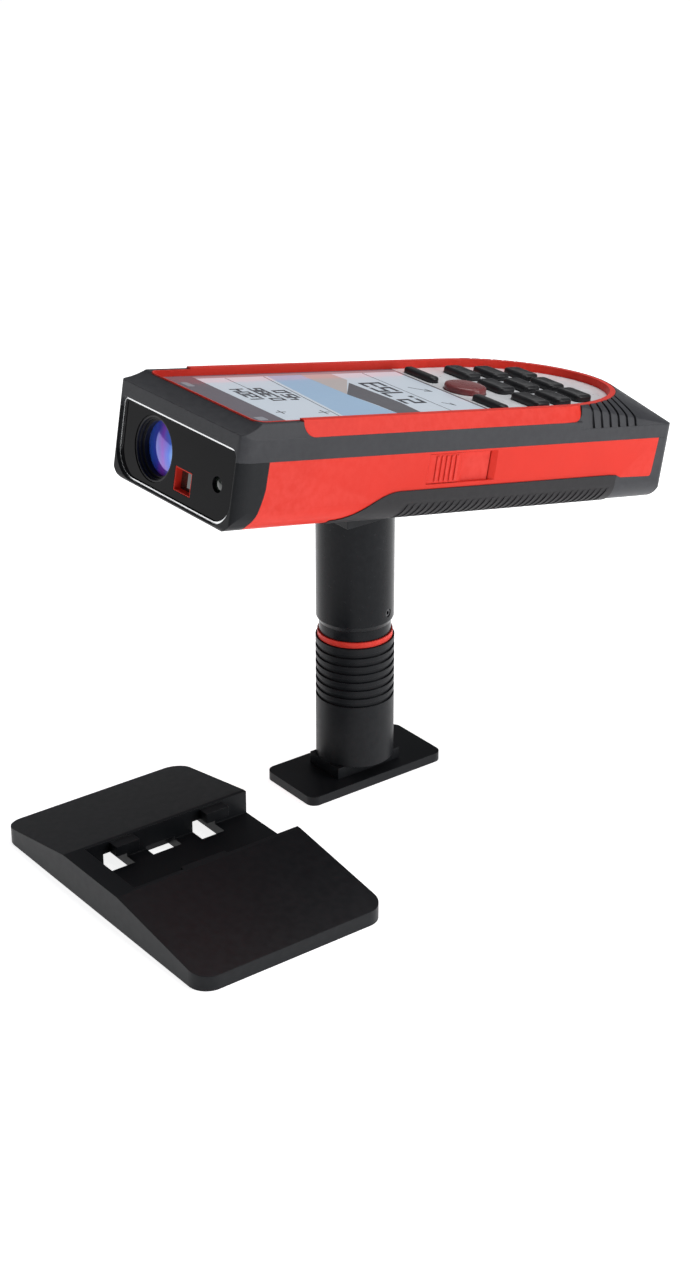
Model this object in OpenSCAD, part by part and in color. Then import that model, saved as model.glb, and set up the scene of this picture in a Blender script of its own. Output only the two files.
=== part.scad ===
// Handheld laser distance meter on a swivel post with a foot plate, and the
// loose wedge base that the foot plate slides into.
// Front (laser exit) is -Y, the meter's left side is +X, +Z is up, and the
// origin is the centre of the foot plate's underside. All sizes in mm.

/* [Meter] */
// Width of the meter
meter_w = 61; // [58:0.5:64]
// Length of the meter at the seam
meter_l = 166; // [164:0.2:170]
// Height of the seam between lower shell and upper frame
seam_h = 20.8; // [20.4:0.1:21.6]
// Height of the crest of the red rail
rail_h = 31.8; // [31:0.2:33]
// Radius of the long bottom edges
edge_r = 7; // [5:0.5:9]
// Nose-up tilt of the meter on its fold-out base, degrees
meter_tilt = 10; // [0:1:40]

/* [Keys] */
// Travel of a key
key_travel = 0.6; // [0.4:0.1:0.8]
// Diameter of the round measuring key
dist_d = 13; // [12:0.2:13.6]
// Depth of a rectangular key, along the meter
key_d = 6.8; // [6:0.2:7.4]
// Height of the key tops above the keypad panel
key_proud = 2.1; // [1.8:0.1:2.4]

/* [Stand] */
// Diameter of the post tube
post_d = 24; // [23:0.5:25]
// Height of the top of the post tube
post_top = 91.3; // [85:0.5:100]
// Height of the lower end of the post tube
tube_z = 52.6; // [52:0.2:54]
// Height of the top of the ribbed sleeve
sleeve_top = 47.4; // [45:0.2:49]
// Length of the foot plate, along the meter
foot_l = 51.6; // [48:0.2:54]
// Width of the foot plate
foot_w = 24.6; // [24:0.2:25]
// Thickness of the foot plate
foot_t = 3; // [2.6:0.1:3.4]

/* [Wedge base] */
// Size of the wedge base across the meter's axis
shoe_x = 105; // [100:1:110]
// Size of the wedge base along the meter's axis
shoe_y = 63; // [60:1:66]
// Thickness of its outer edges
shoe_edge = 4.5; // [3.5:0.5:5.5]
// Height of its two ridges
shoe_ridge = 10.5; // [9.5:0.5:12]
// Place of its centre, X
shoe_cx = 23; // [20:1:30]
// Place of its centre, Y
shoe_cy = -78; // [-90:1:-70]

/* [Hidden] */

eps = 0.01;                  // overshoot of a cut past the face it opens
gap = 0.15;                  // air left round a piece inside the housing
fine = 96;                   // sides of a visible round
mid = 48;                    // sides of a small or inner round
charcoal = [0.19, 0.19, 0.21];
coral = [0.86, 0.20, 0.13];
black = [0.07, 0.07, 0.08];
silver = [0.78, 0.79, 0.81];
steel = [0.62, 0.63, 0.65];
board_green = [0.10, 0.34, 0.20];

half_w = meter_w / 2;
wall = 2.6;                  // wall of the housing
skin = 1.2;                  // depth of the moulded-on black skins

// Levels above the meter's underside
band_h = 27.2;               // top of the charcoal band under the red rail
lip_h = 31.2;                // lip in front of the display
glass_h = 29.4;              // top of display glass and keypad panel
glass_t = 1.2;
panel_t = 1.1;
panel_z = glass_h - panel_t;

// Places along the meter, from the front at the seam
face_u = -0.3;               // plane of the front face
ridge_h = 28.5;              // ridge where the front face meets the concave slope
lip_u = 7;                   // rear end of the concave slope
rail_u0 = 21;                // front end of the wide red rail
rail_r0 = 3.5;               // rounding under its front end
rail_u1 = 126.2;             // rear end of the wide red rail
rail_r1 = 3;                 // rounding under its rear end
grip_end = 144.4;            // joint between grip and rear bumper
guard_low = 25;              // lower edge of the sloping rear guard
arc_u = 118;                 // where the sides of the rail start to curve in
arc_l = 42;                  // length of that curved end
glass_u1 = 97;               // joint between display glass and keypad panel

// Half widths of the outlines that follow the rail
crest_hw = 28.6;
open_hw = 26.8;
ledge_hw = 25.8;             // inside the ledge that carries glass and panel
ring_w = 0.4;                // width of the red lip beside the front of the display
ring_fit = 0.1;

// Fold-out base: its hinge pivot, in the meter and in the stand
pivot_u = 83.5;
pivot_w = 4;
pivot_y = 17;
pivot_z = post_top + pivot_w;
pin_r = 1.5;
pin_l = 38.4;
base_hw = 17.2;              // half width of the fold-out base
base_front = 33;             // reach of the base in front of the pivot
base_t = 7.4;
bay_hw = 17.6;               // half width of the bay that it folds into
bay_u0 = 49;
bay_u1 = 88.4;
bay_h = 8.6;
bay_wall = 1.4;
washer_t = 0.3;

// Lens, laser window and finder, on the front face
lens_x = -12;
lens_z = 12.7;
lens_r = 7.9;
lens_hole_r = 9.6;
laser_x = 3.8;
laser_z = 7.8;
laser_w = 7.6;
laser_hh = 6.4;
laser_wall = 0.3;
finder_x = 20;
finder_z = 11.9;
finder_r = 2.3;

// Port and its sliding cover, in the left wall
port_u0 = 67.1;
port_u1 = 91;                // rear wall of the opening, at the depth of the cover's tail
port_flare = 2.4;            // run of that wall out to the housing's face
port_w0 = 11.1;
port_w1 = 20.1;
cover_slide = 9;
cover_tail = 97;             // rear end of the cover when it is shut
cover_t = 0.9;
cover_in = 1.1;              // depth of the cover's tail below the wall face

// Main board
board_z = 18.8;
board_t = 1.2;

// Keys
row_u = [116.9, 127.6, 138.5];
row_x = [16.0, 14.5, 12.4];
row_w = [12.0, 11.4, 10.4];
soft_u = 100.4;
soft_x = 16.3;
soft_w = 14;
soft_d = 3.8;
soft_drop = 0.3;             // how much lower the soft keys stand
dist_u = 104.4;
key_top = glass_h + key_proud;
key_fit = 0.2;
flange_w = 0.5;
flange_t = 0.5;
flange_z = panel_z - 0.1 - flange_t;
mat_t = 0.8;
mat_z = flange_z - key_travel - 0.1 - mat_t;

// Stand
stud_r = 3.1;                // shank of a quarter-inch camera thread
bush_r = 4.6;
neck_r = 11.1;
spigot_r = 8;
bush_bore_r = 8.05;
insert_r = 9.6;
sleeve_bore_r = 9.65;
sleeve_r = 12.15;
sleeve_z = 6.8;
ring_r = 11.6;
ring_h = 1.9;
groove_n = 7;
groove_pitch = 2.75;
groove_first = 44.7;
block_x = 14.6;
block_y = 24;
screw_r = 2;
set_angle = 20;
set_z = 57;
corner_r = 3;

// Wedge base, in its own centred frame
trough_x0 = -16.2;           // wall under the rear wing
trough_x1 = 10.0;            // wall under the near wing
trough_end = 6.5;            // wall left across the closed end
floor_t = 3.2;
lug_reach = 3.6;
lug_w = 8;
lug_z = 6.7;
tab_reach = 1.4;
tab_w = 15;

// ---- helpers ----

// Points of an arc about [cx, cy] from a0 to a1 degrees
function arc(cx, cy, r, a0, a1, n = 12) =
    [for (i = [0:n]) let (a = a0 + (a1 - a0) * i / n) [cx + r * cos(a), cy + r * sin(a)]];

// Points of a quadratic curve through a and c, pulled towards b
function bend(a, b, c, n = 10) =
    [for (i = [0:n]) let (t = i / n) (1 - t) * (1 - t) * a + 2 * t * (1 - t) * b + t * t * c];

// A rounded rectangle, corner at [x0, y0]
module rounded(x0, y0, w, h, r, sides = mid) {
    translate([x0 + r, y0]) square([w - 2 * r, h]);
    translate([x0, y0 + r]) square([w, h - 2 * r]);
    for (cx = [x0 + r, x0 + w - r], cy = [y0 + r, y0 + h - r])
        translate([cx, cy]) circle(r, $fn = sides);
}

// Plan outline that follows the rail: square at the front, half an ellipse at the rear
module rail_outline(hw, u0) {
    rear = arc_l - (crest_hw - hw);
    corner = 3;
    polygon(concat(
        [for (a = [0:5:180]) [hw * cos(a), arc_u + rear * sin(a)]],
        arc(-hw + corner, u0 + corner, corner, 180, 270, 6),
        arc(hw - corner, u0 + corner, corner, 270, 360, 6)));
}

// A shape drawn in the (u, w) side view, run across the whole width
module across() {
    span = meter_w + 10;
    translate([-span / 2, 0, 0]) rotate([90, 0, 90]) linear_extrude(span) children();
}

// A shape drawn in the (x, w) front view, run from u0 to u1
module along(u0, u1) {
    translate([0, u1, 0]) rotate([90, 0, 0]) linear_extrude(u1 - u0) children();
}

// Front view of the housing, drawn in by i
module front_view(i) {
    r = edge_r - i;
    hw = half_w - i;
    crest = crest_hw - i;
    polygon([[-hw, edge_r], [hw, edge_r], [hw, band_h], [crest, rail_h], [crest, rail_h + 5],
        [-crest, rail_h + 5], [-crest, rail_h], [-hw, band_h]]);
    translate([-hw + r, i]) square([2 * (hw - r), edge_r - i + eps]);
    for (s = [-1, 1]) translate([s * (hw - r), edge_r]) circle(r, $fn = fine);
}

// Side view of the housing, drawn in by i
module side_view(i) {
    front_c = max(1.4, i + 0.1);
    rear_c = max(2.2, i + 0.3);
    rear_lean = 1.4;             // how far the rear face leans in at the bottom
    polygon(concat(
        arc(face_u + front_c, front_c, front_c - i, 270, 180, 6),
        bend([face_u + i, ridge_h], [3.6, ridge_h + 0.4], [lip_u, lip_h], 8),
        [[rail_u0, lip_h], [rail_u0, rail_h + 1], [meter_l - i, rail_h + 1],
         [meter_l - i, seam_h]],
        arc(meter_l - rear_lean - rear_c, rear_c, rear_c - i, 0, -90, 6)));
}

// Plan view of the housing, drawn in by i
module plan_view(i) {
    rear_r = max(2.8 - i, 0.3);
    front_x = max(1.6 - i, 0.2);
    front_y = max(5 - i, 0.4);
    hw = half_w - i;
    l = meter_l - i;
    f = face_u + i + front_y;
    polygon(concat(
        arc(hw - rear_r, l - rear_r, rear_r, 0, 90, 8),
        arc(-hw + rear_r, l - rear_r, rear_r, 90, 180, 8),
        [for (a = [180:9:270]) [-hw + front_x + front_x * cos(a), f + front_y * sin(a)]],
        [for (a = [270:9:360]) [hw - front_x + front_x * cos(a), f + front_y * sin(a)]]));
}

// The housing's outer form, drawn in by i
module housing(i = 0) {
    intersection() {
        along(-5, meter_l + 5) front_view(i);
        across() side_view(i);
        translate([0, 0, -1]) linear_extrude(40) plan_view(i);
    }
}

// Lower half of the housing
module lower_half(i = 0) {
    intersection() {
        housing(i);
        slab(-1, seam_h);
    }
}

// Everything between two levels
module slab(z0, z1) {
    translate([-50, -20, z0]) cube([100, 220, z1 - z0]);
}

// Side-view region of the front guard
module front_region() {
    across() polygon(concat([[-9, -9], [6, -9], [6, 2.4]],
        bend([6, 2.4], [8.6, 6.5], [9.7, 13], 6), [[9.9, seam_h + 1], [-9, seam_h + 1]]));
}

// Side-view region of the grip, with its S-shaped front ramp
module grip_region() {
    ramp_u0 = 35;
    ramp_l = 23;
    low = 1.8;
    high = 9.7;
    across() polygon(concat(
        [for (i = [0:12]) let (t = i / 12)
            [ramp_u0 + ramp_l * t, low + (high - low) * (1 - cos(180 * t)) / 2]],
        [[141.5, high], [grip_end, 9.5], [grip_end, -9], [ramp_u0, -9]]));
}

// Side-view region of the rear bumper
module rear_region() {
    across() polygon([[grip_end + eps, -9], [grip_end + eps, 9.5], [146.5, 8.7], [158.8, 8.4],
        [159.5, 8.7], [159.8, 9.6], [160.6, seam_h + 1], [190, seam_h + 1], [190, -9]]);
}

// Places children in the stand's frame, tilted about the hinge of the fold-out base
module on_meter() {
    translate([0, pivot_y, pivot_z]) rotate([-meter_tilt, 0, 0])
        translate([0, -pivot_u, -pivot_w]) children();
}

// A cylinder that points along the meter, from u0 to u1
module rod(r, u0, u1) {
    translate([0, u0, 0]) rotate([-90, 0, 0]) cylinder(h = u1 - u0, r = r, $fn = fine);
}

// ---- housing ----

bay_outer_hw = bay_hw + bay_wall;
column_x = 22.4;             // screw columns inside the housing
column_u = 153;
column_r = 3;
shank_r = 1.2;               // housing screw

module window_outline(i) {
    x = 28.6 - i;
    h = 23.1 - 2 * i;
    top_r = 2.2 - i;
    low_r = 8.5 - i;
    z0 = 1 + i;
    polygon(concat(
        arc(x - top_r, z0 + h - top_r, top_r, 0, 90, 6),
        arc(-x + top_r, z0 + h - top_r, top_r, 90, 180, 6),
        arc(-x + low_r, z0 + low_r, low_r, 180, 270, 10),
        arc(x - low_r, z0 + low_r, low_r, 270, 360, 10)));
}

module port_opening() {
    inner = half_w - wall - 1;
    flare = port_u1 + port_flare;
    translate([0, 0, port_w0]) linear_extrude(port_w1 - port_w0) polygon([[inner, port_u0],
        [inner, port_u1], [half_w - cover_in, port_u1], [half_w, flare], [half_w + 1, flare],
        [half_w + 1, port_u0]]);
}

module cover_channel() {
    translate([half_w - cover_in - cover_t - gap, port_u0 - 1, port_w0 - 0.7])
        cube([cover_t + 2 * gap, cover_tail + cover_slide + 1 - port_u0 + 1,
              port_w1 - port_w0 + 1]);
}

module lower_shell() {
    color(coral) on_meter() difference() {
        union() {
            difference() {
                lower_half();
                housing(wall);
                front_region();
            }
            intersection() {
                translate([-bay_outer_hw, bay_u0 - bay_wall, 0])
                    cube([2 * bay_outer_hw, bay_u1 - bay_u0 + 2 * bay_wall, bay_h + bay_wall]);
                lower_half();
            }
            for (s = [-1, 1]) translate([s * column_x, column_u, wall - 1])
                cylinder(h = seam_h - wall + 1, r = column_r, $fn = mid);
        }
        intersection() {
            grip_region();
            difference() {
                housing(-2);
                housing(skin);
            }
        }
        intersection() {
            rear_region();
            difference() {
                housing(-2);
                housing(skin);
            }
        }
        translate([-bay_hw, bay_u0, -2]) cube([2 * bay_hw, bay_u1 - bay_u0, bay_h + 2]);
        translate([-pin_l / 2, pivot_u, pivot_w]) rotate([0, 90, 0])
            cylinder(h = pin_l, r = pin_r, $fn = mid);
        for (s = [-1, 1]) translate([s * column_x, column_u, -1])
            cylinder(h = seam_h + 2, r = shank_r, $fn = mid);
        port_opening();
        cover_channel();
    }
}

module front_guard() {
    color(charcoal) on_meter() difference() {
        intersection() {
            lower_half();
            front_region();
        }
        intersection() {
            housing(wall);
            translate([-40, 3.4, 0]) cube([80, 20, 40]);
        }
        along(-6, 8) window_outline(0);
    }
}

module upper_frame() {
    roof = 1;                    // thickness left over the inner pocket
    pocket_u = 4.4;
    color(charcoal) on_meter() difference() {
        intersection() {
            housing();
            union() {
                slab(seam_h, band_h);
                translate([-50, -5, band_h - 1]) cube([100, 5 + rail_u0 + rail_r0, 10]);
            }
        }
        translate([0, 0, seam_h - 1]) linear_extrude(band_h - roof - seam_h + 1)
            rail_outline(half_w - 2.2, pocket_u);
        translate([0, 0, seam_h - 1]) linear_extrude(20) rail_outline(ledge_hw, lip_u + 2);
        translate([0, 0, band_h]) linear_extrude(20)
            rail_outline(open_hw + ring_w + ring_fit, lip_u - ring_w - ring_fit);
        translate([0, 0, band_h]) linear_extrude(20) intersection() {
            rail_outline(crest_hw + ring_fit, lip_u);
            translate([-50, rail_u0 - ring_fit]) square([100, 200]);
        }
        rail_side();
        translate([-50, rail_u1, guard_low]) cube([100, 60, 20]);
        along(-6, pocket_u + 1) window_outline(0);
    }
}

// Side-view region of the wide red rail, rounded under both ends
module rail_side() {
    across() polygon(concat(
        arc(rail_u0 + rail_r0, band_h + rail_r0, rail_r0, 180, 270, 8),
        arc(rail_u1 - rail_r1, band_h + rail_r1, rail_r1, 270, 360, 8),
        [[rail_u1, rail_h + 1], [rail_u0, rail_h + 1]]));
}

module red_rail() {
    color(coral) on_meter() difference() {
        union() {
            intersection() {
                hull() {
                    translate([0, 0, band_h]) linear_extrude(eps) rail_outline(half_w, 2);
                    translate([0, 0, rail_h - eps]) linear_extrude(eps) rail_outline(crest_hw, 2);
                }
                rail_side();
            }
            translate([0, 0, band_h]) linear_extrude(rail_h - band_h) intersection() {
                rail_outline(crest_hw, lip_u);
                translate([-50, rail_u0]) square([100, 200]);
            }
            translate([0, 0, band_h]) linear_extrude(rail_h - band_h)
                rail_outline(open_hw + ring_w, lip_u - ring_w);
        }
        translate([0, 0, glass_h - glass_t - 0.05]) linear_extrude(10)
            rail_outline(open_hw, lip_u);
        translate([0, 0, band_h - 1]) linear_extrude(5) rail_outline(ledge_hw, lip_u + 2);
        translate([-50, -5, lip_h + 0.1]) cube([100, 5 + rail_u0, 10]);
    }
}

// Slope from the rail's rear arc down to the housing's corners, drawn in by i
module guard_form(i = 0) {
    hull() {
        translate([0, 0, guard_low - i]) linear_extrude(eps) intersection() {
            plan_view(i);
            translate([-50, rail_u1 - rail_r1]) square([100, 100]);
        }
        translate([0, 0, rail_h - i - eps]) linear_extrude(eps) intersection() {
            rail_outline(crest_hw + 0.4, 2);
            translate([-50, rail_u1 - rail_r1]) square([100, 100]);
        }
    }
}

module rear_guard() {
    rib_u = 129.7;
    rib_pitch = 3.58;
    rib_w = 1;
    rib_d = 0.7;
    rib_lean = 1.2;              // how far a groove's lower end lies behind its upper end
    color(charcoal) on_meter() difference() {
        guard_form();
        translate([0, 0, guard_low - 1]) linear_extrude(10)
            rail_outline(crest_hw + ring_fit / 2, lip_u);
        rail_side();
        translate([-50, rail_u1 - 10, guard_low - 1]) cube([100, 10, band_h - guard_low + 1]);
        difference() {
            for (i = [0:5]) translate([0, rib_u + i * rib_pitch, 0]) across() polygon([
                [0, rail_h + 1], [rib_w, rail_h + 1], [rib_w + rib_lean, guard_low - 1],
                [rib_lean, guard_low - 1]]);
            guard_form(rib_d);
        }
    }
}

module grip_cradle() {
    proud = 0.3;
    color(black) on_meter() difference() {
        intersection() {
            grip_region();
            difference() {
                housing(-proud);
                housing(skin);
            }
        }
        translate([-bay_hw, bay_u0, -3]) cube([2 * bay_hw, bay_u1 - bay_u0, bay_h]);
    }
}

module rear_bumper() {
    color(charcoal) on_meter() difference() {
        intersection() {
            rear_region();
            lower_half();
        }
        housing(skin);
        screw_cuts(2.6);
    }
}

// Round pockets in the underside for the heads of the housing screws
module screw_cuts(r) {
    for (s = [-1, 1]) translate([s * column_x, column_u, -2])
        cylinder(h = 2 + wall + 1, r = r, $fn = mid);
}

module housing_screws() {
    head_z = skin;
    color(steel) on_meter() for (s = [-1, 1]) translate([s * column_x, column_u, 0]) {
        difference() {
            translate([0, 0, 0.2]) cylinder(h = head_z - 0.2, r = 2.1, $fn = mid);
            translate([0, 0, -1]) cylinder(h = 1.7, r = 1, $fn = 6);
        }
        translate([0, 0, head_z]) cylinder(h = 16, r = shank_r, $fn = mid);
    }
}

// ---- front optics ----

module bezel_trim() {
    color(silver) on_meter() difference() {
        along(0.5, 1.9) window_outline(0);
        along(-1, 3) window_outline(0.75);
    }
}

module front_window() {
    cut_w = laser_w + 2 * laser_wall + 0.1;
    cut_h = laser_hh + 2 * laser_wall + 0.1;
    color(black) on_meter() difference() {
        union() {
            along(1, 1.9) window_outline(0.75);
            along(1.9, 3.2) window_outline(0);
        }
        translate([lens_x, 0, lens_z]) rod(lens_hole_r, -1, 5);
        translate([finder_x, 0, finder_z]) rod(finder_r, -1, 5);
        translate([laser_x - cut_w / 2, -1, laser_z - cut_h / 2]) cube([cut_w, 6, cut_h]);
    }
}

module lens_barrel() {
    front = 1.3;
    rear = 15;
    r = lens_hole_r - 0.05;
    color(black) on_meter() translate([lens_x, 0, lens_z]) difference() {
        rod(r, front, rear);
        rod(r - 0.6, front - 1, front + 0.9);
        rod(r - 1, front - 1, front + 1.9);
        rod(lens_r, front - 1, rear - 3);
        rod(lens_r - 1.5, front, rear + 1);
    }
}

module objective_lens() {
    crown = 26;                  // radius of the lens's front surface
    front = 3.6;
    color([0.35, 0.30, 0.75]) on_meter() translate([lens_x, 0, lens_z])
        intersection() {
            translate([0, front + crown, 0]) sphere(crown, $fn = fine);
            rod(lens_r - 0.02, 0, front + 5);
        }
}

module laser_frame() {
    w = laser_w + 2 * laser_wall;
    h = laser_hh + 2 * laser_wall;
    color(coral) on_meter() translate([laser_x, 0, laser_z]) difference() {
        translate([-w / 2, 1.1, -h / 2]) cube([w, 4.9, h]);
        translate([-laser_w / 2, 0, -laser_hh / 2]) cube([laser_w, 7, laser_hh]);
    }
}

module laser_window() {
    color([0.12, 0.13, 0.12]) on_meter() translate([laser_x, 3.3, laser_z])
        translate([-laser_w / 2 + 0.05, 0, -laser_hh / 2 + 0.05])
            cube([laser_w - 0.1, 1.2, laser_hh - 0.1]);
}

module finder_lens() {
    crown = 5;
    color([0.30, 0.16, 0.14]) on_meter() translate([finder_x, 0, finder_z])
        intersection() {
            translate([0, 1.5 + crown, 0]) sphere(crown, $fn = fine);
            rod(finder_r - 0.02, 0, 3.8);
        }
}

module camera_module() {
    color(black) on_meter() translate([finder_x, 0, finder_z]) {
        rod(3.2, 3.9, 8.9);
        translate([-4, 8.9, -4]) cube([8, 3, 8]);
    }
}

module laser_module() {
    color(steel) on_meter() translate([laser_x, 0, laser_z]) {
        rod(3.2, 6.2, 18);
        rod(2.2, 18, 20);
    }
}

module optics_block() {
    u0 = 15.6;
    depth = 17.4;
    top = 18;
    color(steel) on_meter() difference() {
        translate([-24, u0, wall]) cube([40, depth, top - wall]);
        translate([-19.5, u0 - 1, 5.2]) cube([15, depth - 2, top]);
        translate([-0.5, u0 - 1, wall + 1]) cube([8.6, depth + 2, 10.4]);
    }
}

module receiver_diode() {
    color([0.75, 0.65, 0.35]) on_meter() translate([lens_x, 0, lens_z]) {
        rod(3, 26, 30);
        rod(2.4, 25, 26);
    }
}

// ---- top: display and keypad ----

module display_glass() {
    color([0.55, 0.62, 0.70]) on_meter() intersection() {
        translate([0, 0, glass_h - glass_t]) linear_extrude(glass_t)
            rail_outline(open_hw - 0.1, lip_u + 0.1);
        translate([-50, 0, 0]) cube([100, glass_u1 - 0.05, 50]);
    }
}

module display_module() {
    color([0.20, 0.22, 0.25]) on_meter()
        translate([-25.6, 12.2, 24.4]) cube([51.2, 84.2, glass_h - glass_t - 24.5]);
}

module key_plan(u, x, w, d, grow) {
    translate([x, u]) rounded(-w / 2 - grow, -d / 2 - grow, w + 2 * grow, d + 2 * grow,
        1.7 + grow);
}

module keypad_panel() {
    color(silver) on_meter() difference() {
        intersection() {
            translate([0, 0, panel_z]) linear_extrude(panel_t)
                rail_outline(open_hw - 0.1, lip_u);
            translate([-50, glass_u1 + 0.05, 0]) cube([100, 100, 50]);
        }
        translate([0, 0, panel_z - 1]) linear_extrude(5) {
            for (r = [0:2], c = [-1:1]) key_plan(row_u[r], c * row_x[r], row_w[r], key_d, key_fit);
            for (s = [-1, 1]) key_plan(soft_u, s * soft_x, soft_w, soft_d, key_fit);
        }
        translate([0, dist_u, panel_z - 1]) cylinder(h = 5, r = dist_d / 2 + key_fit, $fn = fine);
    }
}

module key_mat() {
    color([0.25, 0.25, 0.27]) on_meter() translate([0, 0, mat_z]) linear_extrude(mat_t)
        intersection() {
            rail_outline(open_hw - 2, lip_u);
            translate([-30, glass_u1 + 1]) square([60, 70]);
        }
}

module key_cap(u, x, w, d, top = key_top) {
    color(black) on_meter() {
        translate([0, 0, flange_z]) linear_extrude(flange_t)
            key_plan(u, x, w, d, flange_w);
        translate([0, 0, flange_z + flange_t]) linear_extrude(top - flange_z - flange_t)
            key_plan(u, x, w, d, 0);
    }
}

// Soft key on the left (1) or right (-1)
module soft_key(side) {
    key_cap(soft_u, side * soft_x, soft_w, soft_d, key_top - soft_drop);
}

// Rectangular key by its row and column
module grid_key(r, c) {
    key_cap(row_u[r], c * row_x[r], row_w[r], key_d);
}

module dist_key() {
    color([0.45, 0.08, 0.08]) on_meter() translate([0, dist_u, 0]) {
        translate([0, 0, flange_z]) cylinder(h = flange_t, r = dist_d / 2 + flange_w, $fn = fine);
        translate([0, 0, flange_z + flange_t])
            cylinder(h = key_top - flange_z - flange_t, r = dist_d / 2, $fn = fine);
    }
}

// ---- left wall: port and cover ----

module port_cover() {
    outer = half_w - cover_in;
    pad_l = 12.6;
    pad_t = cover_in - 0.25;
    rib_u = port_u0 + 2.9;
    rib_pitch = 1.85;
    color(coral) on_meter() {
        translate([outer - cover_t, port_u0 + 0.1, port_w0 - 0.3])
            cube([cover_t, cover_tail - port_u0, port_w1 - port_w0 + 0.4]);
        translate([outer, port_u0 + 0.2, port_w0 + 0.15])
            cube([pad_t, pad_l, port_w1 - port_w0 - 0.3]);
        for (i = [0:4]) translate([outer + pad_t, rib_u + rib_pitch * i, port_w0 + 0.7])
            cube([0.3, 0.9, port_w1 - port_w0 - 1.4]);
    }
}

module usb_port() {
    u0 = port_u0 + 0.8;
    x1 = half_w - cover_in - cover_t - 0.3;
    depth = 5;
    color(steel) on_meter() difference() {
        translate([x1 - depth, u0, 14]) cube([depth, 7.6, 2.8]);
        translate([x1 - depth + 1, u0 + 0.4, 14.4]) cube([depth, 6.8, 2]);
    }
}

// ---- inside ----

module main_board() {
    color(board_green) on_meter() difference() {
        translate([-25, 36, board_z]) cube([50, 110, board_t]);
        for (s = [-1, 1]) translate([s * 21, 40, board_z - 1]) cylinder(h = 4, r = 1.6, $fn = mid);
    }
}

module battery_tray() {
    rim = 1.8;
    color([0.55, 0.55, 0.58]) on_meter() translate([0, 119, wall]) difference() {
        translate([-22, -27, 0]) cube([44, 54, 8]);
        translate([-22 + rim, -27 + rim, 1.2]) cube([44 - 2 * rim, 54 - 2 * rim, 8]);
    }
}

module battery() {
    color([0.30, 0.32, 0.36]) on_meter() translate([-20, 94, wall + 1.3]) cube([40, 50, 9.6]);
}

module tilt_sensor() {
    size = [9, 9, 4.9];
    color(black) on_meter() translate([-15, 60, board_z - size[2] - 0.05]) cube(size);
}

module radio_module() {
    color(steel) on_meter() translate([4, 118, board_z + board_t + 0.05]) cube([14, 18, 2.1]);
}

module buzzer() {
    height = 3.6;
    color(black) on_meter() translate([-12, 104, board_z - height - 0.05])
        cylinder(h = height, r = 5, $fn = mid);
}

// ---- fold-out base ----

module hinge_pin() {
    color(steel) on_meter() translate([-pin_l / 2 + 0.1, pivot_u, pivot_w]) rotate([0, 90, 0])
        cylinder(h = pin_l - 0.2, r = pin_r, $fn = mid);
}

module tilt_base() {
    color(black) difference() {
        union() {
            translate([-base_hw, pivot_y - base_front, post_top])
                cube([2 * base_hw, base_front, base_t]);
            translate([-base_hw, pivot_y, pivot_z]) rotate([0, 90, 0])
                cylinder(h = 2 * base_hw, r = pivot_w, $fn = fine);
        }
        translate([-base_hw - 1, pivot_y, pivot_z]) rotate([0, 90, 0])
            cylinder(h = 2 * base_hw + 2, r = pin_r + 0.05, $fn = mid);
        translate([0, 0, post_top - 1]) cylinder(h = base_t + 2, r = bush_r, $fn = mid);
    }
}

module hinge_washers() {
    color(steel) for (s = [-1, 1])
        translate([s > 0 ? base_hw : -base_hw - washer_t, pivot_y, pivot_z]) rotate([0, 90, 0])
            difference() {
                cylinder(h = washer_t, r = 3.4, $fn = mid);
                translate([0, 0, -1]) cylinder(h = 3, r = pin_r + 0.05, $fn = mid);
            }
}

module thread_bush() {
    color([0.78, 0.62, 0.30]) difference() {
        translate([0, 0, post_top]) cylinder(h = base_t, r = bush_r, $fn = mid);
        translate([0, 0, post_top - 1]) cylinder(h = base_t + 2, r = stud_r, $fn = mid);
    }
}

// ---- stand ----

module post_tube() {
    chamfer = 1.6;
    color(black) difference() {
        union() {
            translate([0, 0, tube_z + chamfer])
                cylinder(h = post_top - tube_z - chamfer, r = post_d / 2, $fn = fine);
            translate([0, 0, tube_z])
                cylinder(h = chamfer, r1 = neck_r + 0.1, r2 = post_d / 2, $fn = fine);
        }
        translate([0, 0, tube_z - 1]) cylinder(h = 12, r = neck_r - 1, $fn = fine);
        translate([0, 0, tube_z]) cylinder(h = post_top - tube_z - 6, r = 9, $fn = fine);
        translate([0, 0, post_top - 8]) cylinder(h = 10, r = stud_r, $fn = mid);
        translate([0, 0, set_z]) rotate([0, 90, set_angle])
            cylinder(h = post_d, r = 1.3, $fn = mid);
    }
}

module post_stud() {
    color(steel) translate([0, 0, post_top - 10])
        cylinder(h = 10 + base_t - 1, r = stud_r, $fn = mid);
}

module set_screw() {
    length = 2.4;
    color(steel) translate([0, 0, set_z]) rotate([0, 90, set_angle])
        translate([0, 0, post_d / 2 - length - 0.25]) difference() {
            cylinder(h = length, r = 1.25, $fn = mid);
            translate([0, 0, length - 1]) cylinder(h = 2, r = 0.65, $fn = 6);
        }
}

module spigot() {
    neck_z = sleeve_top + ring_h;
    color(black) {
        translate([0, 0, neck_z]) cylinder(h = tube_z - neck_z, r = neck_r, $fn = fine);
        difference() {
            translate([0, 0, tube_z]) cylinder(h = 10, r = neck_r - 1.05, $fn = fine);
            translate([0, 0, set_z]) rotate([0, 90, set_angle]) translate([0, 0, 9.3])
                cylinder(h = 3, r = 1.4, $fn = mid);
        }
        translate([0, 0, sleeve_top - 24]) cylinder(h = 24 + ring_h, r = spigot_r, $fn = fine);
    }
}

module red_ring() {
    color(coral) difference() {
        translate([0, 0, sleeve_top]) cylinder(h = ring_h - 0.05, r = ring_r, $fn = fine);
        translate([0, 0, sleeve_top - 1]) cylinder(h = ring_h + 2, r = insert_r, $fn = fine);
    }
}

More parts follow.
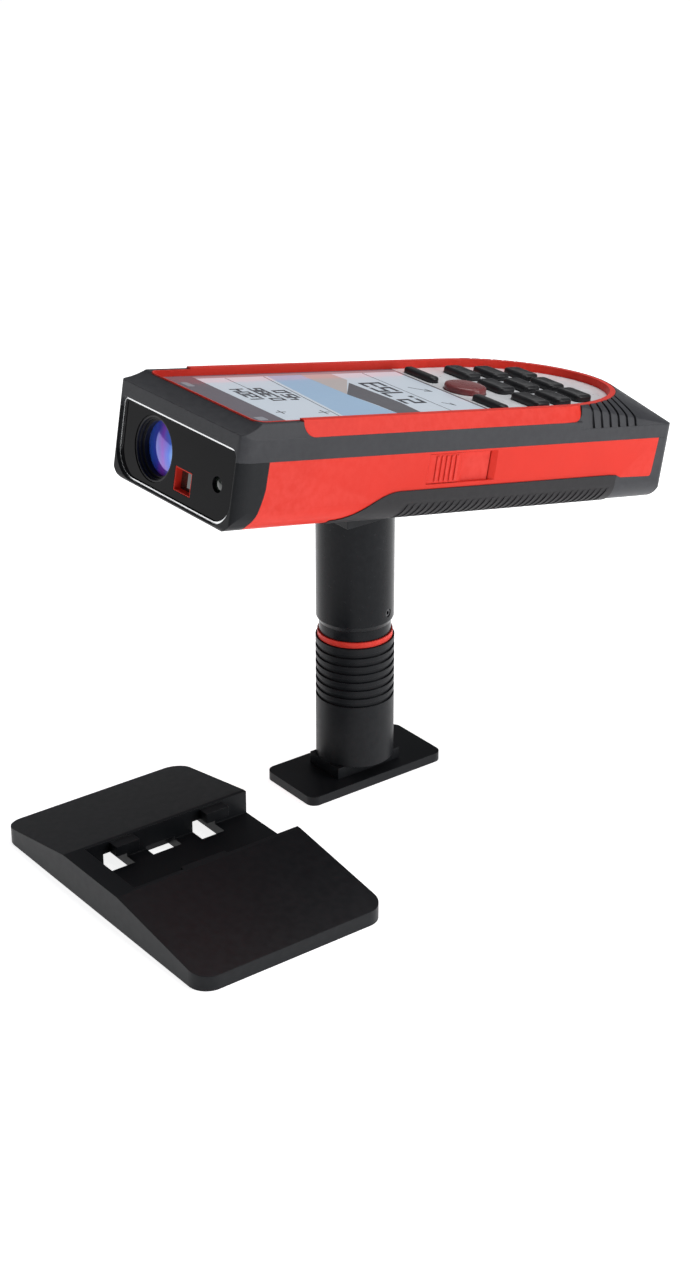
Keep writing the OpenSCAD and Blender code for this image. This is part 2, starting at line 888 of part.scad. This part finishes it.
module swivel_bush() {
    color([0.78, 0.62, 0.30]) difference() {
        translate([0, 0, sleeve_top - 26]) cylinder(h = 26 + ring_h - 0.05, r = insert_r, $fn = fine);
        translate([0, 0, sleeve_top - 24.1]) cylinder(h = 30, r = bush_bore_r, $fn = fine);
    }
}

module sleeve() {
    groove_d = 0.5;
    groove_h = 1.3;
    color(black) difference() {
        translate([0, 0, sleeve_z])
            cylinder(h = sleeve_top - 0.1 - sleeve_z, r = sleeve_r, $fn = fine);
        translate([0, 0, sleeve_top - 26.1]) cylinder(h = 30, r = sleeve_bore_r, $fn = fine);
        translate([0, 0, sleeve_z - 1]) cylinder(h = 30, r = screw_r + 0.1, $fn = mid);
        translate([0, 0, sleeve_z + 8]) cylinder(h = 20, r = 4, $fn = mid);
        for (i = [0:groove_n - 1])
            translate([0, 0, groove_first - i * groove_pitch - groove_h / 2]) difference() {
                cylinder(h = groove_h, r = sleeve_r + 1, $fn = fine);
                translate([0, 0, -1])
                    cylinder(h = groove_h + 2, r = sleeve_r - groove_d, $fn = fine);
            }
    }
}

module sleeve_screw() {
    color(steel) {
        translate([0, 0, 1]) cylinder(h = sleeve_z + 7, r = screw_r, $fn = mid);
        translate([0, 0, sleeve_z + 8]) cylinder(h = 2.4, r = 3.6, $fn = mid);
    }
}

module foot_block() {
    color(black) difference() {
        translate([-block_x / 2, -block_y / 2, foot_t])
            cube([block_x, block_y, sleeve_z - foot_t]);
        translate([0, 0, foot_t - 1]) cylinder(h = 10, r = screw_r + 0.05, $fn = mid);
    }
}

module foot_plate() {
    color(black) difference() {
        linear_extrude(foot_t)
            rounded(-foot_w / 2, -foot_l / 2, foot_w, foot_l, corner_r);
        translate([0, 0, 0.95]) cylinder(h = 10, r = screw_r + 0.05, $fn = mid);
    }
}

// ---- wedge base ----

module base_shoe() {
    hx = shoe_x / 2;
    hy = shoe_y / 2;
    ridge_x0 = -17.4;
    ridge_x1 = 11.4;
    hole_x1 = [-11.9, -12.4, -11.1];
    hole_x0 = [-27, -19.8, -27];
    hole_top = [lug_z, 4, lug_z];
    hole_y = [[-19, -11], [-4.3, 5.6], [12, 20]];
    lug_y = [-12.7, 18.7];
    color(black) translate([shoe_cx, shoe_cy, 0]) {
        difference() {
            union() {
                intersection() {
                    linear_extrude(20) rounded(-hx, -hy, shoe_x, shoe_y, 6);
                    translate([0, hy, 0]) rotate([90, 0, 0]) linear_extrude(shoe_y) polygon([
                        [-hx, 0], [-hx, shoe_edge], [ridge_x0, shoe_ridge],
                        [trough_x0, shoe_ridge], [trough_x0, 0]]);
                }
                translate([trough_x0 - eps, -hy, 0])
                    cube([trough_x1 - trough_x0 + 2 * eps, shoe_y, floor_t]);
            }
            for (i = [0:2]) translate([hole_x0[i], hole_y[i][0], -1])
                cube([hole_x1[i] - hole_x0[i], hole_y[i][1] - hole_y[i][0], hole_top[i] + 1]);
        }
        intersection() {
            linear_extrude(20) rounded(-hx, -hy, shoe_x, shoe_y, 6);
            translate([0, hy, 0]) rotate([90, 0, 0]) linear_extrude(shoe_y) polygon([
                [trough_x1, 0], [trough_x1, shoe_ridge], [ridge_x1, shoe_ridge],
                [hx, shoe_edge], [hx, 0]]);
        }
        translate([trough_x0 - eps, -hy, 0])
            cube([trough_x1 - trough_x0 + 2 * eps, trough_end, shoe_ridge]);
        for (y = lug_y) translate([trough_x0 - eps, y - lug_w / 2, lug_z])
            cube([lug_reach, lug_w, shoe_ridge - 0.6 - lug_z]);
        translate([trough_x1 - tab_reach, -tab_w / 2 - 1, lug_z])
            cube([tab_reach + eps, tab_w, shoe_ridge - lug_z]);
    }
}

lower_shell();
upper_frame();
red_rail();
front_guard();
rear_bumper();
rear_guard();
grip_cradle();
bezel_trim();
front_window();
lens_barrel();
objective_lens();
laser_frame();
laser_window();
finder_lens();
camera_module();
laser_module();
optics_block();
receiver_diode();
display_glass();
display_module();
keypad_panel();
key_mat();
dist_key();
soft_key(1);  // softkey_left
soft_key(-1);  // softkey_right
grid_key(0, -1);  // key_1
grid_key(0, 0);  // key_2
grid_key(0, 1);  // key_3
grid_key(1, -1);  // key_4
grid_key(1, 0);  // key_5
grid_key(1, 1);  // key_6
grid_key(2, -1);  // key_7
grid_key(2, 0);  // key_8
grid_key(2, 1);  // key_9
port_cover();
usb_port();
main_board();
battery();
battery_tray();
tilt_sensor();
radio_module();
buzzer();
housing_screws();
hinge_pin();
tilt_base();
thread_bush();
hinge_washers();
post_tube();
post_stud();
set_screw();
spigot();
red_ring();
swivel_bush();
sleeve();
sleeve_screw();
foot_block();
foot_plate();
base_shoe();
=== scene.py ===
import math

import bpy
from mathutils import Matrix, Vector

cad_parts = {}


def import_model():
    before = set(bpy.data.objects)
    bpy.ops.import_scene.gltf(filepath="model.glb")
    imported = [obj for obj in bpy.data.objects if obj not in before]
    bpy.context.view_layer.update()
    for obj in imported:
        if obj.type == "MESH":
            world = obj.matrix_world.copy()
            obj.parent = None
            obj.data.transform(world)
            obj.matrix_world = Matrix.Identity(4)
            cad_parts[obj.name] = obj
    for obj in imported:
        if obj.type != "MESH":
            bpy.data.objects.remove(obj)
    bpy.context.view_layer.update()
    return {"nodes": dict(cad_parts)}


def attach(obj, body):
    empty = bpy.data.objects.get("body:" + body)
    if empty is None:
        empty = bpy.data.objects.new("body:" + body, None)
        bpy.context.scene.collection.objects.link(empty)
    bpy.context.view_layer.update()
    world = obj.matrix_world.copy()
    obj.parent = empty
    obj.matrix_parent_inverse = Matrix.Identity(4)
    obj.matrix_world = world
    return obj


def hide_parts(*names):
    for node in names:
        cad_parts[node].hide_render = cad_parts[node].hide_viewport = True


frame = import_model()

NODES = frame["nodes"]
MM = 0.001

# ---- the meter's own frame: x across, u from front to rear, w up from the underside, in mm ----

PIVOT_U, PIVOT_W, PIVOT_Y, PIVOT_Z, TILT = 83.5, 4, 17, 95.3, 10
GLASS_W = 29.4
METER = (Matrix.Translation((0, PIVOT_Y, PIVOT_Z)) @ Matrix.Rotation(math.radians(-TILT), 4, "X")
         @ Matrix.Translation((0, -PIVOT_U, -PIVOT_W)))


def on_meter(x, u, w):
    """A point of the meter as a place in the row frame, in metres."""
    return METER @ Vector((x, u, w)) * MM


# ---- materials ----

def nodes_of(name):
    """A new material, its node tree and its shader."""
    m = bpy.data.materials.new(name)
    m.use_nodes = True
    tree = m.node_tree
    return m, tree, tree.nodes["Principled BSDF"]


def noise(tree, coords, size, detail=3.0, stretch=None):
    """A noise whose features are about size mm across."""
    if stretch:
        mapping = tree.nodes.new("ShaderNodeMapping")
        mapping.inputs["Scale"].default_value = stretch
        tree.links.new(coords, mapping.inputs["Vector"])
        coords = mapping.outputs["Vector"]
    n = tree.nodes.new("ShaderNodeTexNoise")
    n.inputs["Scale"].default_value = 1 / (size * MM)
    n.inputs["Detail"].default_value = detail
    tree.links.new(coords, n.inputs["Vector"])
    return n.outputs["Fac"]


def span(tree, value, a0, a1, b0, b1):
    """Maps value from a0..a1 to b0..b1, clamped."""
    r = tree.nodes.new("ShaderNodeMapRange")
    for socket, limit in zip(r.inputs[1:5], (a0, a1, b0, b1)):
        socket.default_value = limit
    tree.links.new(value, r.inputs["Value"])
    return r.outputs["Result"]


def blend_colour(tree, factor, first, second):
    """Two colours, or colour sockets, mixed by a factor socket."""
    mix = tree.nodes.new("ShaderNodeMix")
    mix.data_type = "RGBA"
    tree.links.new(factor, mix.inputs["Factor"])
    for socket, colour in ((mix.inputs["A"], first), (mix.inputs["B"], second)):
        if isinstance(colour, bpy.types.NodeSocket):
            tree.links.new(colour, socket)
        else:
            socket.default_value = (*colour, 1)
    return mix.outputs["Result"]


def scaled(colour, k):
    """A colour made lighter or darker, no brighter than white."""
    return tuple(min(1.0, c * k) for c in colour)


def surface(name, colour, rough, grain=0.5, bump=0.02, mottle=0.08, vary=0.07, wear=0.2,
            metal=0.0, spec=0.5, coat=0.0, coat_rough=0.08, stretch=None, edge=0.3):
    """Moulded, painted or machined stuff: grain mm across and bump mm deep, blotchy by mottle,
    roughness varying by vary, edges paler by wear and softened over edge mm."""
    m, tree, bsdf = nodes_of(name)
    coords = tree.nodes.new("ShaderNodeTexCoord").outputs["Object"]
    blotch = noise(tree, coords, 14, 4)
    fine = noise(tree, coords, grain, 4, stretch)
    scuff = noise(tree, coords, 2.2, 6)
    body = blend_colour(tree, span(tree, blotch, 0.3, 0.7, 0, 1),
                        scaled(colour, 1 - mottle), scaled(colour, 1 + mottle))
    speck = blend_colour(tree, span(tree, fine, 0.35, 0.75, 0, 0.6), body,
                         scaled(colour, 1 + 1.5 * mottle))
    point = tree.nodes.new("ShaderNodeNewGeometry").outputs["Pointiness"]
    rubbed = tree.nodes.new("ShaderNodeMath")
    rubbed.operation = "MULTIPLY"
    tree.links.new(span(tree, point, 0.52, 0.6, 0, wear), rubbed.inputs[0])
    tree.links.new(span(tree, scuff, 0.35, 0.65, 0.3, 1), rubbed.inputs[1])
    worn = blend_colour(tree, rubbed.outputs[0], speck,
                        tuple(min(1.0, c * 1.5 + 0.10) for c in colour))
    tree.links.new(worn, bsdf.inputs["Base Color"])
    tree.links.new(span(tree, scuff, 0.3, 0.7, max(0.02, rough - vary), rough + vary),
                   bsdf.inputs["Roughness"])
    b = tree.nodes.new("ShaderNodeBump")
    b.inputs["Strength"].default_value = 1
    b.inputs["Distance"].default_value = bump * MM
    tree.links.new(fine, b.inputs["Height"])
    if edge:
        soft = tree.nodes.new("ShaderNodeBevel")
        soft.samples = 4
        soft.inputs["Radius"].default_value = edge * MM
        tree.links.new(soft.outputs["Normal"], b.inputs["Normal"])
    tree.links.new(b.outputs["Normal"], bsdf.inputs["Normal"])
    bsdf.inputs["Metallic"].default_value = metal
    bsdf.inputs["Specular IOR Level"].default_value = spec
    bsdf.inputs["Coat Weight"].default_value = coat
    bsdf.inputs["Coat Roughness"].default_value = coat_rough
    return m


def banded_lens_painted_reflection(name):
    """Deep blue and violet anti-reflection coating, banded across the lens as a painted
    reflection, with a faint painted glow.
    """
    m, tree, bsdf = nodes_of(name)
    coords = tree.nodes.new("ShaderNodeTexCoord").outputs["Object"]
    parts = tree.nodes.new("ShaderNodeSeparateXYZ")
    tree.links.new(coords, parts.inputs["Vector"])
    wobble = noise(tree, coords, 9, 2)
    bend = tree.nodes.new("ShaderNodeMath")
    bend.operation = "MULTIPLY_ADD"
    tree.links.new(wobble, bend.inputs[0])
    bend.inputs[1].default_value = 0.5
    tree.links.new(span(tree, parts.outputs["X"], -18 * MM, -2 * MM, -0.25, 0.75), bend.inputs[2])
    ramp = tree.nodes.new("ShaderNodeValToRGB")
    # The colour stops paint the coating's reflection, and the pale blue stop is a painted
    # highlight.
    stops = ((0.0, (0.03, 0.10, 0.62)), (0.25, (0.05, 0.06, 0.55)), (0.42, (0.24, 0.05, 0.60)),
             (0.6, (0.07, 0.18, 0.85)), (0.8, (0.25, 0.55, 1.0)), (1.0, (0.03, 0.04, 0.25)))
    for i, (at, colour) in enumerate(stops):
        e = ramp.color_ramp.elements[i] if i < 2 else ramp.color_ramp.elements.new(at)
        e.position, e.color = at, (*colour, 1)
    tree.links.new(bend.outputs[0], ramp.inputs["Fac"])
    tree.links.new(ramp.outputs["Color"], bsdf.inputs["Base Color"])
    # The banded colour also drives a faint emission. This is a painted glow, since the lens is no
    # lamp.
    tree.links.new(ramp.outputs["Color"], bsdf.inputs["Emission Color"])
    bsdf.inputs["Emission Strength"].default_value = 0.08
    tree.links.new(span(tree, wobble, 0.3, 0.7, 0.04, 0.12), bsdf.inputs["Roughness"])
    bsdf.inputs["Metallic"].default_value = 0.3
    bsdf.inputs["Coat Weight"].default_value = 1.0
    bsdf.inputs["Coat Roughness"].default_value = 0.03
    return m


def screen(name, colour, glow=0.0):
    """A colour of the display's picture, under its glass."""
    m = surface(name, colour, 0.35, grain=0.25, bump=0.0, mottle=0.02, vary=0.03, wear=0,
                coat=1.0, coat_rough=0.04, spec=0.3)
    bsdf = m.node_tree.nodes["Principled BSDF"]
    bsdf.inputs["Emission Color"].default_value = (*colour, 1)
    bsdf.inputs["Emission Strength"].default_value = glow
    return m


CORAL = (0.72, 0.032, 0.018)
CHARCOAL = (0.036, 0.037, 0.042)
MATS = {
    "coral_plastic": surface("coral_plastic_look", CORAL, 0.42, grain=0.35, bump=0.006,
                             mottle=0.03, wear=0.2, spec=0.15),
    "charcoal_plastic": surface("charcoal_plastic_look", CHARCOAL, 0.45, grain=0.3, bump=0.012,
                                mottle=0.08, spec=0.2, wear=0.15),
    "grip_rubber": surface("grip_rubber_look", (0.020, 0.019, 0.021), 0.55, grain=0.4, bump=0.012,
                           mottle=0.1, spec=0.2, wear=0.1),
    "trim_silver": surface("trim_silver_look", (0.86, 0.87, 0.88), 0.22, grain=0.6, bump=0.004,
                           metal=1.0, wear=0.1, edge=0.15),
    "window_black": surface("window_black_look", (0.004, 0.004, 0.005), 0.05, grain=3, bump=0.0,
                            mottle=0.2, vary=0.02, spec=0.08, wear=0.0, edge=0),
    "barrel_black": surface("barrel_black_look", (0.006, 0.006, 0.008), 0.36, grain=0.4,
                            bump=0.01, spec=0.3, wear=0.1, stretch=(0.2, 1, 0.2)),
    "coated_glass": banded_lens_painted_reflection("coated_glass_painted_reflection_look"),
    "dark_glass": surface("dark_glass_look", (0.012, 0.018, 0.014), 0.06, grain=2, bump=0.0,
                          mottle=0.2, vary=0.02, coat=1.0, coat_rough=0.02, wear=0.0, edge=0),
    "display_glass": surface("display_glass_look", (0.20, 0.18, 0.21), 0.14, grain=2, bump=0.0,
                             mottle=0.04, vary=0.03, spec=0.3, wear=0.0, edge=0),
    "display_module": surface("display_module_look", (0.10, 0.11, 0.12), 0.45),
    "panel_silver": surface("panel_silver_look", (0.80, 0.82, 0.85), 0.34, grain=0.25, bump=0.004,
                            mottle=0.03, metal=0.15, spec=0.5),
    "key_rubber": surface("key_rubber_look", (0.014, 0.014, 0.016), 0.34, grain=0.3, bump=0.006,
                          mottle=0.15, spec=0.35, wear=0.0, edge=0.2),
    "dist_red": surface("dist_red_look", (0.20, 0.040, 0.042), 0.3, grain=0.3, bump=0.006,
                        wear=0.0),
    "anodised_black": surface("anodised_black_look", (0.005, 0.006, 0.008), 0.24, grain=0.5,
                              bump=0.002, mottle=0.06, vary=0.04, spec=0.14, wear=0.05,
                              stretch=(1, 1, 0.08)),
    "moulded_black": surface("moulded_black_look", (0.007, 0.008, 0.010), 0.40, grain=0.45,
                             bump=0.008, mottle=0.05, vary=0.04, spec=0.16, wear=0.05),
    "bright_steel": surface("bright_steel_look", (0.62, 0.62, 0.63), 0.28, metal=1.0,
                            bump=0.004, stretch=(1, 1, 0.1)),
    "black_steel": surface("black_steel_look", (0.06, 0.06, 0.065), 0.32, metal=0.9, bump=0.006),
    "brass": surface("brass_look", (0.68, 0.48, 0.20), 0.30, metal=1.0, bump=0.004),
    "board_green": surface("board_green_look", (0.02, 0.11, 0.045), 0.4, grain=1.2, mottle=0.2),
    "battery_wrap": surface("battery_wrap_look", (0.05, 0.06, 0.09), 0.3, mottle=0.1),
    "cast_alloy": surface("cast_alloy_look", (0.42, 0.43, 0.44), 0.5, metal=0.8, grain=0.8,
                          bump=0.03),
}
SCREEN = {
    "screen_white": screen("screen_white", (0.62, 0.69, 0.77), 0.4),
    "screen_grey": screen("screen_grey", (0.30, 0.31, 0.35), 0.3),
    "screen_blue": screen("screen_blue", (0.34, 0.50, 0.69), 0.4),
    "screen_beige": screen("screen_beige", (0.54, 0.49, 0.48), 0.3),
    "screen_dark": screen("screen_dark", (0.13, 0.13, 0.15), 0.1),
    "screen_ink": screen("screen_ink", (0.035, 0.04, 0.06), 0.0),
}

# ---- CAD nodes: materials by slot ----

for node in NODES.values():
    for slot in node.material_slots:
        slot.material = MATS[slot.material.name.split(".")[0]]

# ---- new pieces ----

def piece(name, verts, faces, material, body, smooth=False):
    """A mesh whose points are in the meter's own frame, in mm."""
    m = bpy.data.meshes.new(name)
    m.from_pydata([on_meter(*v) for v in verts], [], faces)
    m.materials.append(material)
    m.update()
    o = bpy.data.objects.new(name, m)
    bpy.context.scene.collection.objects.link(o)
    for f in m.polygons:
        f.use_smooth = smooth
    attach(o, body)
    return o


def signed_area(points):
    """The area of an (x, u) shape, negative where its points run clockwise."""
    return sum(a[0] * b[1] - b[0] * a[1] for a, b in zip(points, points[1:] + points[:1])) / 2


def add_prism(verts, faces, points, w0, w1):
    """A flat shape of (x, u) points, from level w0 to w1."""
    points = list(points) if signed_area(points) > 0 else list(points)[::-1]
    n, base = len(points), len(verts)
    verts += [(x, u, w0) for x, u in points] + [(x, u, w1) for x, u in points]
    faces.append(tuple(base + i for i in reversed(range(n))))
    faces.append(tuple(base + n + i for i in range(n)))
    faces += [(base + i, base + (i + 1) % n, base + n + (i + 1) % n, base + n + i)
              for i in range(n)]


def flat(name, shapes, below, above, look):
    """Shapes of the display's picture, from below the glass's top to above it."""
    verts, faces = [], []
    for points in shapes:
        add_prism(verts, faces, points, GLASS_W - below, GLASS_W + above)
    piece(name, verts, faces, SCREEN[look], "meter")


def stroke(a, b, width):
    """A straight stroke between two (x, u) points, as a shape."""
    d = Vector((b[0] - a[0], b[1] - a[1])).normalized() * width / 2
    side = Vector((-d.y, d.x))
    a, b = Vector(a) - d, Vector(b) + d
    return [tuple(a + side), tuple(a - side), tuple(b - side), tuple(b + side)]


SEGMENTS = {"a": ((0, 2), (1, 2)), "b": ((1, 2), (1, 1)), "c": ((1, 1), (1, 0)),
            "d": ((0, 0), (1, 0)), "e": ((0, 1), (0, 0)), "f": ((0, 2), (0, 1)),
            "g": ((0, 1), (1, 1))}
DIGITS = {"0": "abcdef", "1": "bc", "2": "abged", "3": "abgcd", "4": "fgbc", "5": "afgcd",
          "6": "afgedc", "7": "abc", "8": "abcdefg", "9": "abcdfg"}


def number(text, x, u, height, width):
    """Digits read with their top towards the front and running towards -X, from (x, u)."""
    shapes = []
    for ch in text:
        if ch == ".":
            shapes.append(stroke((x - 0.1 * height, u), (x - 0.12 * height, u), width * 1.3))
            x -= 0.3 * height
            continue
        for s in DIGITS[ch]:
            (ax, ay), (bx, by) = SEGMENTS[s]
            shapes.append(stroke((x - ax * 0.5 * height, u - ay * 0.5 * height),
                                 (x - bx * 0.5 * height, u - by * 0.5 * height), width))
        x -= 0.78 * height
    return shapes


def loop(hw, hd, r, steps=5):
    """A rounded rectangle of half width hw and half depth hd, about the origin."""
    points = []
    for cx, cy, a0 in ((hw - r, hd - r, 0), (r - hw, hd - r, 90), (r - hw, r - hd, 180),
                       (hw - r, r - hd, 270)):
        for i in range(steps + 1):
            a = math.radians(a0 + 90 * i / steps)
            points.append((cx + r * math.cos(a), cy + r * math.sin(a)))
    return points


def key(node, x, u, hw, hd, r, top, dish, slot="key_rubber"):
    """A moulded key with a rolled edge and a slightly dished or domed top."""
    rings = [(0, KEY_LOW), (0, top - 0.75), (0.12, top - 0.38), (0.36, top - 0.13), (0.75, top),
             (1.3, top + dish * 0.4)]
    verts, faces = [], []
    for inset, w in rings:
        ring = loop(hw - inset, hd - inset, max(r - inset, 0.25))
        verts += [(x + px, u + py, w) for px, py in ring]
    n = len(verts) // len(rings)
    for k in range(len(rings) - 1):
        for i in range(n):
            j = (i + 1) % n
            faces.append((k * n + i, k * n + j, (k + 1) * n + j, (k + 1) * n + i))
    last = (len(rings) - 1) * n
    verts.append((x, u, top + dish))
    faces += [(last + i, last + (i + 1) % n, len(verts) - 1) for i in range(n)]
    faces.append(tuple(reversed(range(n))))
    o = piece(node + "_cap", verts, faces, MATS[slot], node, smooth=True)
    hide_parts(node)


# Keys: places (x, u), sizes and levels
KEY_LOW, KEY_TOP, SOFT_TOP, DIST_TOP = 27.7, 31.5, 31.2, 31.4
ROW_U, ROW_X, ROW_W, ROW_D = (116.9, 127.6, 138.5), (16.0, 14.5, 12.4), (12.0, 11.4, 10.4), 6.8
KEY_R = 1.7
SOFT_X, SOFT_U, SOFT_W, SOFT_D, SOFT_R = 16.3, 100.4, 14, 3.8, 1.5
DIST_U, DIST_R = 104.4, 6.5

for r in range(3):
    for c in (-1, 0, 1):
        key("key_%d" % (3 * r + c + 2), c * ROW_X[r], ROW_U[r], ROW_W[r] / 2, ROW_D / 2, KEY_R,
            KEY_TOP, -0.12)
for side, node in ((1, "softkey_left"), (-1, "softkey_right")):
    key(node, side * SOFT_X, SOFT_U, SOFT_W / 2, SOFT_D / 2, SOFT_R, SOFT_TOP, 0.05)
key("dist_key", 0, DIST_U, DIST_R, DIST_R, DIST_R - 0.01, DIST_TOP, 0.1, slot="dist_red")

# The display's picture, in layers on the glass
FIELD_HW, FIELD_U0, FIELD_U1, FRAME_HW, FRAME_U1 = 23.5, 21, 96, 25.6, 96.5
flat("screen_field", [[(-FIELD_HW, FIELD_U0), (FIELD_HW, FIELD_U0), (FIELD_HW, FIELD_U1),
                       (-FIELD_HW, FIELD_U1)]], 0.02, 0.02, "screen_white")
flat("screen_border", [
    [(-FRAME_HW, FIELD_U0), (-FIELD_HW, FIELD_U0), (-FIELD_HW, FRAME_U1), (-FRAME_HW, FRAME_U1)],
    [(FIELD_HW, FIELD_U0), (FRAME_HW, FIELD_U0), (FRAME_HW, FRAME_U1), (FIELD_HW, FRAME_U1)]],
    0.02, 0.015, "screen_grey")
flat("screen_blue_area", [[(-FIELD_HW, 46.6), (FIELD_HW, 42), (FIELD_HW, 62.5), (-1.5, 59.8),
                           (-FIELD_HW, 59.1)]], 0, 0.04, "screen_blue")
flat("screen_beige_area", [[(-FIELD_HW, 59.1), (-1.5, 59.8), (-16.3, 71.3),
                            (-FIELD_HW, 70.6)]], 0, 0.04, "screen_beige")
flat("screen_dark_wedge", [[(-1.5, 59.8), (10, 61.5), (FIELD_HW, 62.5), (FIELD_HW, 70.5),
                            (9, 71.5), (-13.2, 69.6)]], 0, 0.05, "screen_dark")
flat("screen_digits",
     number("2.753", 10, 80, 7, 1.2) + number("1.204", 1.5, 28.6, 4, 0.8)
     + number("0.386", 1.5, 35, 4, 0.8) + number("45.0", 1.5, 41.4, 4, 0.8),
     0, 0.06, "screen_ink")
flat("screen_lines", [
    stroke((-5.9, 86.8), (-0.7, 91.8), 0.35), stroke((-0.7, 91.8), (-3.2, 91.2), 0.35),
    stroke((-0.7, 91.8), (-1.2, 89.4), 0.35), stroke((11, 86), (14.4, 88.4), 0.35),
    stroke((14.4, 88.4), (12.2, 88.2), 0.35), stroke((13, 23.5), (13, 26.5), 0.4),
    stroke((11.5, 25), (14.5, 25), 0.4), stroke((15, 37), (15, 40.5), 0.4),
    stroke((13.2, 38.7), (16.8, 38.7), 0.4), stroke((-23, 45), (23, 40.6), 0.25),
    stroke((-23, 82.5), (23, 82.5), 0.25), stroke((-23, 31), (-3, 31), 0.2)],
    0, 0.055, "screen_ink")
flat("screen_top_bar", [
    [(x - 18, u + 14.5) for x, u in loop(2.2, 1.2, 0.5)],
    [(x + 18, u + 14.5) for x, u in loop(1.6, 1.6, 0.5)]], 0, 0.03, "screen_grey")

# Slanted ribs along both sides of the grip, wrapped round the bottom edge
HALF_W, EDGE_R, GRIP_PROUD = 30.5, 7.0, 0.3
RIB_N, RIB_U0, RIB_PITCH, RIB_LOW, RIB_HIGH = 33, 59.5, 2.5, 0.8, 5.7
RIB_LEAN, RIB_W, RIB_PROUD = 2.4, 1.1, 0.28


def grip_rib(verts, faces, side, u0):
    """One rib on a side, with its lower end at u0, fading out towards both ends."""
    steps, base = 8, len(verts)
    for i in range(steps + 1):
        t = i / steps
        w = RIB_LOW + (RIB_HIGH - RIB_LOW) * t
        grow = RIB_PROUD * min(1, 4 * t + 0.2, 4 * (1 - t) + 0.2)
        a = math.acos((EDGE_R - w) / EDGE_R)
        for r in (EDGE_R - 0.2, EDGE_R + GRIP_PROUD + grow):
            x, z = HALF_W - EDGE_R + r * math.sin(a), EDGE_R - r * math.cos(a)
            for du in (-RIB_W / 2, RIB_W / 2):
                verts.append((side * x, u0 + RIB_LEAN * t + du, z))
    quads = []
    for i in range(steps):
        p, q = base + 4 * i, base + 4 * (i + 1)
        quads += [(p, p + 1, q + 1, q), (p + 2, q + 2, q + 3, p + 3),
                  (p, q, q + 2, p + 2), (p + 1, p + 3, q + 3, q + 1)]
    end = base + 4 * steps
    quads += [(base, base + 2, base + 3, base + 1), (end, end + 1, end + 3, end + 2)]
    faces += [f if side < 0 else f[::-1] for f in quads]


for side, label in ((1, "left"), (-1, "right")):
    verts, faces = [], []
    for i in range(RIB_N):
        grip_rib(verts, faces, side, RIB_U0 + RIB_PITCH * i)
    piece("grip_ribs_" + label, verts, faces, MATS["grip_rubber"], "meter")

# ---- floor, light and camera ----

def floor():
    """A pale seamless ground, bright enough to read as a white backdrop."""
    size = 12.0
    m = bpy.data.meshes.new("floor")
    m.from_pydata([(-size, -size, 0), (size, -size, 0), (size, size, 0), (-size, size, 0)], [],
                  [(0, 1, 2, 3)])
    o = bpy.data.objects.new("floor", m)
    bpy.context.scene.collection.objects.link(o)
    look = surface("floor_look", (0.80, 0.80, 0.81), 0.8, grain=3, bump=0.01, mottle=0.01,
                   wear=0, spec=0.1, edge=0)
    glow = look.node_tree.nodes["Principled BSDF"]
    glow.inputs["Emission Color"].default_value = (1, 1, 1, 1)
    glow.inputs["Emission Strength"].default_value = 0.85
    o.data.materials.append(look)


def area(name, at, aim, size, power):
    """A rectangular lamp at one place, turned towards another, in metres and watts."""
    light = bpy.data.lights.new(name, "AREA")
    light.shape = "RECTANGLE"
    light.size, light.size_y = size
    light.energy = power
    o = bpy.data.objects.new(name, light)
    o.location = at
    o.rotation_euler = (Vector(aim) - Vector(at)).to_track_quat("-Z", "Y").to_euler()
    bpy.context.scene.collection.objects.link(o)


def world(strength):
    """A faint bluish light from all round."""
    w = bpy.data.worlds.new("studio")
    bpy.context.scene.world = w
    w.use_nodes = True
    w.node_tree.nodes["Background"].inputs["Color"].default_value = (0.95, 0.97, 1.0, 1)
    w.node_tree.nodes["Background"].inputs["Strength"].default_value = strength


def camera(azimuth, pitch, distance, right_by, up_by, lens):
    """Looks at the origin from an azimuth and pitch, then shifts in its own plane, in mm."""
    a, p = math.radians(azimuth), math.radians(pitch)
    back = Vector((math.sin(a) * math.cos(p), -math.cos(a) * math.cos(p), math.sin(p)))
    right = Vector((math.cos(a), math.sin(a), 0))
    up = back.cross(right)
    data = bpy.data.cameras.new("camera")
    data.lens = lens
    data.sensor_width = 36
    data.clip_start, data.clip_end = 0.01, 20
    o = bpy.data.objects.new("camera", data)
    o.matrix_world = Matrix.Translation((back * distance + right * right_by + up * up_by) * MM) @ \
        Matrix((right, up, back)).transposed().to_4x4()
    bpy.context.scene.collection.objects.link(o)
    bpy.context.scene.camera = o


floor()
world(0.14)
area("top_box", (0.0, 0.35, 0.95), (0, 0, 0.08), (0.9, 0.7), 6)
area("side_box", (0.85, 0.55, 0.30), (0, 0.03, 0.1), (0.35, 0.7), 5)
area("front_box", (-0.1, -0.95, 0.35), (0, 0, 0.1), (0.9, 0.4), 0.5)
camera(52.65, 25.448, 715.985, -2.891, 40.479, 63.68)
bpy.context.scene.view_settings.view_transform = "Standard"
bpy.context.scene.view_settings.look = "None"
